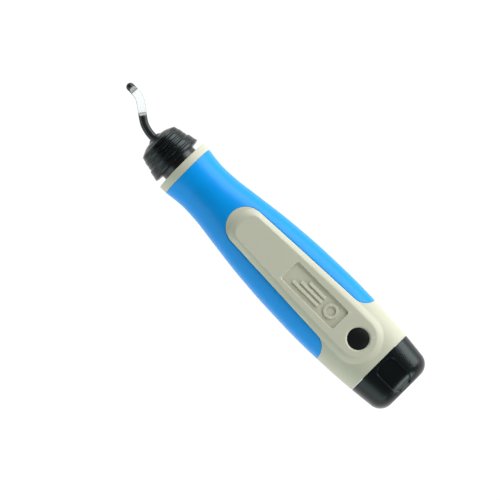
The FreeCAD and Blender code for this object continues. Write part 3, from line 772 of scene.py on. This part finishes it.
def add_panel(shape):
    """Sunken panel with a raised ring and three bars. Returns its outer loop."""
    floor = FLAT - PANEL_DEPTH
    wide = 2 * PANEL_EDGE
    section = rounded_path([(PANEL_MARGIN, 0, 0), (wide, 0, 0), (0, 0, PANEL_EDGE),
                            (0, -PANEL_DEPTH, PANEL_EDGE), (-wide, -PANEL_DEPTH, 0)])
    loops = [rounded_rectangle(*PANEL_X, 0, PANEL_HALF_WIDTH, PANEL_CORNER, grow, FLAT + z)
             for grow, z in section]
    shape.grid(loops, closed=True)
    shape.fill([loops[-1]])
    top = floor + MOTIF_HEIGHT
    rise = rounded_path([(0, floor - MOTIF_ROOT, 0), (0, top, MOTIF_EDGE), (-2 * MOTIF_EDGE, top, 0)])
    ring_x, inner, outer = MOTIF_RING
    ring = [(outer + grow, z) for grow, z in rise] + [(inner - grow, z) for grow, z in reversed(rise)]
    lathe_z(shape, ring, ring_x)
    for i, length in enumerate(BAR_LENGTHS):
        y = BAR_SPACING * (1 - i)
        bar = [rounded_rectangle(BAR_START, BAR_START + length, y, BAR_HALF_WIDTH, BAR_CORNER, grow, z, 4)
               for grow, z in rise]
        shape.grid(bar, closed=True)
        shape.fill([bar[-1]])
    return loops[0]


def pocket_ring(x, grow):
    """Rounded rectangular section of the rear pocket, through the same angles as the rim."""
    wide, tall = POCKET_HALF
    n = POCKET_SQUARENESS
    ring = []
    for a in full_turn(RIM_COUNT):
        swell = (abs(math.cos(a)) ** n + abs(math.sin(a)) ** n) ** (-1 / n)
        y = (wide + grow) * math.cos(a) * swell
        ring.append(Vector((x, y, POCKET_Z + (tall + grow) * math.sin(a) * swell)))
    return ring


def build_core():
    """Handle moulding: skin with both pads, sunken panel, button hole, front ring and pocket."""
    shape = Shape()
    inner, outer = core_lines()
    shape.mirrored(core_columns(inner, outer))
    flat_loop = [Vector((x, y, FLAT)) for x, y in inner]
    flat_loop += [Vector((x, -y, FLAT)) for x, y in reversed(inner[1:-1])]
    shape.fill([[Vector((p.x, p.y, -FLAT)) for p in flat_loop]])
    panel_loop = add_panel(shape)
    band = HOLE_RADIUS + HOLE_MARGIN
    bevel = rounded_path([(band, FLAT, 0), (HOLE_RADIUS + HOLE_CHAMFER, FLAT, HOLE_EDGE),
                          (HOLE_RADIUS, FLAT - HOLE_CHAMFER, HOLE_EDGE), (HOLE_RADIUS, HOLE_BOTTOM, 0)])
    lathe_z(shape, bevel, BUTTON_X)
    shape.fill([flat_loop, panel_loop, circle(BUTTON_X, band, FLAT)])
    lathe_x(shape, rounded_path([
        (SLEEVE_FRONT - RING_GAP, RING_ROOT, 0),
        (SLEEVE_FRONT + RING_GAP, RING_RADII[0], RING_EDGES[0]),
        (RING_FRONT, RING_RADII[1], RING_EDGES[1]),
        (RING_FRONT, RING_BORE, 0),
    ]))
    rim = [skin(SEAM, a, CORE_EDGE) for a in full_turn(RIM_COUNT)]
    mouth = pocket_ring(SEAM, POCKET_CHAMFER)
    front = pocket_ring(POCKET_FRONT, 0)
    shape.grid([rim, mouth, pocket_ring(SEAM + POCKET_CHAMFER, 0), front], closed=True)
    shape.fan(front, Vector((POCKET_FRONT, 0, POCKET_Z)))
    piece = make_piece("handle_core_skin", shape, GRAY, "root", 40)
    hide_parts("handle_core")


# --- end cap ---
def thumb_depth(point):
    """Depth of the thumb recess at a point of the cap's skin."""
    forward = THUMB_FRONT - point.x
    taper = smooth_step((THUMB_TAPER_X - point.x) / (THUMB_TAPER_X - CAP_END))
    side = THUMB_HALF_WIDTH - THUMB_TAPER * taper - abs(point.y)
    r = THUMB_CORNER
    back = point.x - THUMB_REAR
    end = min(forward, THUMB_REAR_STRETCH * back)
    if end < r and side < r:
        inside = r - math.hypot(r - end, r - side)
    else:
        inside = min(end, side)
    wall = min(max(inside / THUMB_WALL, 0.0), 1.0)
    return THUMB_DEPTH * wall * smooth_step(back / THUMB_FADE)


def cap_rows(recessed):
    """Quarter of the cap as rows from the seam over the rounded corner to the middle of the end.
    The mesh is finest where the thumb recess has its edges."""
    t = THUMB_HALF_WIDTH
    ys = [0.0, 0.7, 1.4, 2.0] + [2.3 + 0.1 * k for k in range(20)]
    ys += [t + d for d in (-0.24, -0.18, -0.12, -0.06, 0.0, 0.1, 0.35, 0.8)]
    front = THUMB_FRONT
    xs = [CAP_FRONT - d for d in (0, 0.03, 0.08, 0.15, 0.25, 0.4, 0.7)]
    xs += [front + 0.02] + [front - 0.06 * k for k in range(1, 12)]
    xs += [front - 0.7 - 0.15 * k for k in range(1, 15)]
    corner_x = CAP_END + CAP_CORNER
    x = xs[-1] - CAP_ROW_STEP
    while x > corner_x + 0.5 * CAP_ROW_STEP:
        xs.append(x)
        x -= CAP_ROW_STEP
    # place along X, how far the skin is drawn in, its tilt, and its share of the way to the middle
    stops = [(x, 0.0, 0.0, 0.0) for x in xs]
    for k in range(CORNER_ROWS + 1):
        a = 0.5 * math.pi * k / CORNER_ROWS
        stops.append((corner_x - CAP_CORNER * math.sin(a), CAP_CORNER * (1 - math.cos(a)), a, 0.0))
    stops += [(CAP_END, CAP_CORNER, 0.5 * math.pi, k / END_ROWS) for k in range(1, END_ROWS + 1)]
    rows = []
    for x, inset, tilt, sink in stops:
        inset += edge_drop(CAP_FRONT - x, CAP_EDGE)
        last = angle_at(x, ys[-1], inset)
        angles = [angle_at(x, y, inset) for y in ys]
        angles += [last * (1 - k / FLANK_COLUMNS) for k in range(1, FLANK_COLUMNS + 1)]
        row = []
        for a in angles:
            point = skin(x, a, inset)
            point.z *= 1 - sink
            depth = thumb_depth(point) if recessed else 0.0
            if depth > 0:
                point = skin(x, a, inset + depth * math.cos(tilt))
                point.z *= 1 - sink
                point.x += depth * math.sin(tilt)
            row.append(point)
        rows.append(row)
    return rows


def build_cap():
    """Rear cap: skin with the thumb recess, hollow wall, and the plug that enters the handle."""
    shape = Shape()
    shape.mirrored(cap_rows(True), (1,))
    shape.mirrored(cap_rows(False), (-1,))
    turn = full_turn(RIM_COUNT)
    rim = [skin(CAP_FRONT, a, CAP_EDGE) for a in turn]
    lip = [skin(CAP_FRONT, a, CAP_WALL) for a in turn]
    wall = [skin(CAP_FLOOR, a, CAP_WALL) for a in turn]
    shape.grid([rim, lip, wall], closed=True)
    shape.fan(wall, Vector((CAP_FLOOR, 0, 0)))
    side, floor, roof = PLUG
    chamfer = PLUG_CHAMFER
    loops = []
    for x, grow in ((CAP_FLOOR - PLUG_ROOT, 0.0), (PLUG_FRONT - chamfer, 0.0), (PLUG_FRONT, -chamfer)):
        flat = rounded_rectangle(floor, roof, 0, side, PLUG_CORNER, grow, 0.0)
        loops.append([Vector((x, p.y, p.x)) for p in flat])
    shape.grid(loops, closed=True)
    shape.fan(loops[-1], Vector((PLUG_FRONT, 0, floor + 0.5 * (roof - floor))))
    piece = make_piece("end_cap_skin", shape, BLACK, "cap", 45)
    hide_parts("end_cap")


# --- nose collar ---
def build_collar():
    """Three ribbed tiers and a domed front, hollow behind; the grooves fade towards both sides."""
    rear = COLLAR_REAR
    bore = [Vector((rear + dx, r)) for dx, r in COLLAR_BORE]
    rows = []
    for a in full_turn(COLLAR_COLUMNS):
        fade = smooth_step((abs(math.cos(a)) - COLLAR_FADE_START) / COLLAR_FADE_LENGTH)
        ribs = [(rear + dx, r + lift * fade, edge) for dx, r, edge, lift in COLLAR_RIBS]
        section = rounded_path([(*bore[-1], 0)] + ribs, 6) + bore
        rows.append([Vector((x, r * math.cos(a), r * math.sin(a))) for x, r in section])
    shape = Shape()
    shape.grid(rows + rows[:1], closed=True)
    piece = make_piece("release_collar_skin", shape, BLACK, "collar", 48)
    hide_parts("release_collar")


# --- hook blade ---
def hook_curve():
    """Evenly spaced points along the hook, as a smooth curve that starts and ends along X."""
    xs, ys = zip(*HOOK_PATH)
    last = len(xs) - 1
    slope = [0.0] + [(ys[i + 1] - ys[i - 1]) / (xs[i + 1] - xs[i - 1]) for i in range(1, last)] + [0.0]
    fine = []
    for i in range(last):
        step = xs[i + 1] - xs[i]
        for k in range(HOOK_FINENESS):
            t = k / HOOK_FINENESS
            y = between(t, step, ys[i], ys[i + 1], slope[i], slope[i + 1])
            fine.append(Vector((xs[i] + step * t, y, 0)))
    fine.append(Vector((xs[-1], ys[-1], 0)))
    run = [0.0]
    for a, b in zip(fine, fine[1:]):
        run.append(run[-1] + (b - a).length)
    points = []
    i = 0
    for k in range(HOOK_STEPS + 1):
        goal = run[-1] * k / HOOK_STEPS
        while i < len(run) - 2 and run[i + 1] < goal:
            i += 1
        share = (goal - run[i]) / (run[i + 1] - run[i])
        points.append(fine[i].lerp(fine[i + 1], share))
    return points


def build_blade():
    """Shank, hook and domed tip in one sweep, with the top of the hook ground flat."""
    shank = [
        (BLADE_START, SHANK_END_RADIUS),
        (BLADE_START + SHANK_CHAMFER, SHANK_RADIUS),
        (GROOVE_X - GROOVE_HALF_TOP, SHANK_RADIUS),
        (GROOVE_X - GROOVE_HALF_FLOOR, GROOVE_RADIUS),
        (GROOVE_X + GROOVE_HALF_FLOOR, GROOVE_RADIUS),
        (GROOVE_X + GROOVE_HALF_TOP, SHANK_RADIUS),
        (HOOK_PATH[0][0] - BEND_GAP, SHANK_RADIUS),
    ]
    ahead = Vector((1, 0, 0))
    # centre, direction, radius, and the run along the hook, which is negative on the shank
    stops = [(Vector((x, 0, 0)), ahead, r, -1.0) for x, r in shank]
    path = hook_curve()
    run = 0.0
    for k, (point, direction) in enumerate(zip(path, tangents(path))):
        run += (point - path[max(k - 1, 0)]).length
        stops.append((point, direction, SHANK_RADIUS, run))
    for k in range(1, TIP_STEPS + 1):
        a = 0.5 * math.pi * k / TIP_STEPS
        reach = SHANK_RADIUS * math.sin(a)
        radius = max(SHANK_RADIUS * math.cos(a), TIP_RADIUS)
        stops.append((path[-1] + ahead * reach, ahead, radius, run + reach))
    start, end = GROUND
    rows = []
    for centre, direction, radius, along in stops:
        side = Vector((-direction.y, direction.x, 0))
        inside = min((along - start) / GROUND_RAMPS[0], (end - along) / GROUND_RAMPS[1])
        out = 1 - min(max(inside, 0.0), 1.0)
        level = GROUND_Z + (SHANK_RADIUS + GROUND_CLEARANCE - GROUND_Z) * out ** GROUND_RAMP_POWER
        ring = []
        for a in full_turn(BLADE_SIDES):
            point = centre + side * radius * math.cos(a)
            point.z = min(radius * math.sin(a), level)
            ring.append(point)
        rows.append(ring)
    shape = Shape()
    shape.grid(rows, closed=True)
    shape.fan(rows[0], Vector((BLADE_START, 0, 0)))
    piece = make_piece("blade_skin", shape, DARK_STEEL, "blade", 22)
    piece.data.materials.append(GROUND_STEEL_PAINTED_SHINE)
    piece.data.materials.append(RUNOUT_PAINTED_SHADE)
    # Level ground faces take the near-white steel with its painted highlight; tilted ground faces take
    # the darker copy with painted shade.
    for face in piece.data.polygons:
        # A ground face lies lower than the round shank would be where it faces the same way
        level = (face.center.z - AXIS_Z) / MM
        on_hook = face.center.x / MM > HOOK_PATH[1][0]
        up = face.normal.z
        if on_hook and up > UPWARD_NORMAL and level < SHANK_RADIUS * up - GROUND_MARGIN:
            face.material_index = 1 if up > LEVEL_NORMAL else 2
    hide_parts("blade")


# --- push button ---
def build_button():
    """Domed head, flange under the hole's edge, and stem with a domed end."""
    head = HOLE_RADIUS - BUTTON_GAP
    rim = FLAT - BUTTON_RIM
    crown = BUTTON_TOP - rim
    dome = (head ** 2 + crown ** 2) / (2 * crown)
    path = [Vector((AXIS_RADIUS, BUTTON_TOP))]
    for k in range(1, BUTTON_DOME_ROWS + 1):
        r = head * k / (BUTTON_DOME_ROWS + 0.5)
        path.append(Vector((r, BUTTON_TOP - dome + math.sqrt(dome ** 2 - r * r))))
    flange, under, over = BUTTON_FLANGE
    stem, stem_side, stem_end = BUTTON_STEM
    edge = BUTTON_EDGE
    path += rounded_path([
        (head - BUTTON_LIP[0], rim + BUTTON_LIP[1], 0), (head, rim - edge, edge), (head, over, 0),
        (flange, over, edge), (flange, under, edge), (stem, under, edge),
        (stem, stem_side, BUTTON_STEM_EDGE), (AXIS_RADIUS, stem_end, 0),
    ], 4)
    shape = Shape()
    lathe_z(shape, path, BUTTON_X)
    piece = make_piece("release_button_skin", shape, GLOSS, "button", 40)
    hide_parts("release_button")


def build_coil(node, coil, axis, middle):
    """Coil spring between the seats of its CAD node, along the given axis.
    An upright coil stands over middle."""
    radius, wire, turns = coil
    start = low(node, axis)
    span = high(node, axis) - start
    rise = span - wire
    pitch = rise / (2 * math.pi * turns * radius)
    count = int(COIL_STEPS * turns)
    rings = []
    for i in range(count + 1):
        a = 2 * math.pi * turns * i / count
        out = Vector((math.cos(a), math.sin(a), 0))
        heading = Vector((-math.sin(a), math.cos(a), pitch)).normalized()
        across = heading.cross(out)
        centre = out * radius + Vector((0, 0, start + wire / 2 + rise * i / count))
        ring = [centre + wire / 2 * (out * math.cos(b) + across * math.sin(b))
                for b in full_turn(WIRE_SIDES)]
        if axis == "x":
            rings.append([Vector((p.z, p.y, -p.x)) for p in ring])
        else:
            rings.append([p + Vector((middle, 0, 0)) for p in ring])
    shape = Shape()
    shape.rod(rings)
    piece = make_piece(node + "_skin", shape, SPRING_STEEL, "root", 40)
    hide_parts(node)
    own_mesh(piece)


def leaf_strip(name, path):
    """Strip of spring steel with cut edges along a path of (x, z) points."""
    half = LEAF_THICKNESS / 2
    cut = half * LEAF_EDGE
    # (across, up) corners of the section in turn
    section = []
    for sy, sz in ((1, 1), (-1, 1), (-1, -1), (1, -1)):
        on_side = (sy * LEAF_HALF_WIDTH, sz * (half - cut))
        on_face = (sy * (LEAF_HALF_WIDTH - cut), sz * half)
        section += [on_side, on_face] if sy * sz > 0 else [on_face, on_side]
    rings = []
    for k, (x, z) in enumerate(path):
        before = path[max(k - 1, 0)]
        after = path[min(k + 1, len(path) - 1)]
        heading = Vector((after[0] - before[0], 0, after[1] - before[1])).normalized()
        up = Vector((-heading.z, 0, heading.x))
        rings.append([Vector((x, across, z)) + up * height for across, height in section])
    shape = Shape()
    shape.rod(rings)
    return make_piece(name, shape, SPRING_STEEL, "cap", 30)


def build_latch():
    """Latch leaf in two pieces, the foot and the arm, both riding on the cap."""
    half = LEAF_THICKNESS / 2
    foot = low("latch_spring", "x") + half
    foot_end = low("latch_spring", "z")
    tip = high("latch_spring", "x")
    peak = high("latch_spring", "z") - half
    level = LEAF_TOP - half
    hook = tip - LEAF_HOOK_BACK
    long, short = LEAF_HOOK_HALF
    bend = [(foot + LEAF_BEND - LEAF_BEND * math.cos(a), level - LEAF_BEND + LEAF_BEND * math.sin(a))
            for a in (math.pi / 2 * k / 6 for k in range(7))]
    leaf_strip("latch_foot_skin", [(foot, foot_end), (foot, level - LEAF_FOOT_TOP)] + bend)
    corners = [
        (foot + LEAF_BEND, level, 0), (hook - long, level, LEAF_ROUND), (hook - short, peak, LEAF_ROUND),
        (hook + short, peak, LEAF_ROUND), (hook + long, level, LEAF_ROUND), (tip, level, 0),
    ]
    arm = leaf_strip("latch_arm_skin", [tuple(p) for p in rounded_path(corners)])
    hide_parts("latch_spring")
    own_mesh(arm)


build_grip()
build_core()
build_cap()
build_collar()
build_blade()
build_button()
build_coil("collar_spring", COLLAR_COIL, "x", 0.0)
build_coil("button_spring", BUTTON_COIL, "z", BUTTON_X)
build_latch()

# --- looks of the pieces kept from the CAD ---
KEPT = (
    (NECK, ("nose_bush",)),
    (BLACK, ("button_retainer", "blade_magazine")),
    (OXIDE_STEEL, ("blade_barrel", "magazine_screws", "latch_screw")),
    (BRIGHT_STEEL, ("barrel_washer", "barrel_nut", "cam_ring")),
    (BALL_STEEL, ("thrust_ball", "lock_ball_1", "lock_ball_2", "lock_ball_3")),
    (SPRING_STEEL, ("collar_circlip",)),
    (DARK_STEEL, ("spare_blades",)),
)
for material, nodes in KEPT:
    for node in nodes:
        slots = bpy.data.objects[node].data.materials
        slots.clear()
        slots.append(material)

# --- studio ---
FLOOR_REACH = 3.0
SKY = 0.14                      # strength of the white sky
# Panels that stop well below the camera, so that faces turned up stay darker: place, point they
# face, size, power, colour
PANELS = {
    "panel_bright": ((0.25, -0.9, 0.38), (0.25, 0, 0.38), (1.7, 0.72), 19.9, (0.94, 1.0, 1.04)),
    "panel_dim": ((0, 0.9, 0.38), (0, 0, 0.38), (2.4, 0.72), 9.5, (0.86, 1.04, 1.06)),
    "panel_end": ((-0.9, -0.14, 0.4), (0, -0.14, 0.4), (0.45, 0.55), 5.5, (0.95, 1.0, 1.0)),
}
LENS = 398.6                    # focal length in millimetres
CAMERA_PLACE = Vector((-0.0628, 0.150, 2.1))
CAMERA_AIM = Vector((0.00074, 0.00435, AXIS_Z))
PICTURE_UP = Vector((1, -1, 0)) * math.sqrt(0.5)


def area_light(name, place, aim, size, power, colour):
    """Rectangular light facing the point aim."""
    lamp = bpy.data.lights.new(name, "AREA")
    lamp.shape = "RECTANGLE"
    lamp.size, lamp.size_y = size
    lamp.energy = power
    lamp.color = colour
    holder = add_object(name, lamp)
    holder.location = place
    holder.rotation_euler = (Vector(aim) - Vector(place)).to_track_quat("-Z", "Y").to_euler()


def build_studio():
    """White floor and sky, the panels, and the camera over the tool."""
    mesh = bpy.data.meshes.new("floor")
    corners = [(sx * FLOOR_REACH, sy * FLOOR_REACH, cad_box[0].z)
               for sx, sy in ((-1, -1), (1, -1), (1, 1), (-1, 1))]
    mesh.from_pydata(corners, [], [(0, 1, 2, 3)])
    mesh.materials.append(surface("floor_white", (0.05, 0.05, 0.05), 0.9, grain=0.0, cloud=0.0,
                                  specular=0.0, glow=1.0))
    floor = add_object("floor", mesh)

    world = bpy.data.worlds.new("studio")
    world.use_nodes = True
    sky = world.node_tree.nodes["Background"].inputs
    sky["Color"].default_value = (1, 1, 1, 1)
    sky["Strength"].default_value = SKY
    bpy.context.scene.world = world
    bpy.context.scene.view_settings.view_transform = "Standard"

    for name, panel in PANELS.items():
        area_light(name, *panel)

    view = bpy.data.cameras.new("camera")
    view.lens = LENS
    view.clip_end = 10
    camera = add_object("camera", view)
    camera.location = CAMERA_PLACE
    back = (CAMERA_PLACE - CAMERA_AIM).normalized()
    right = PICTURE_UP.cross(back).normalized()
    camera.rotation_euler = Matrix((right, back.cross(right), back)).transposed().to_euler()
    bpy.context.scene.camera = camera


build_studio()
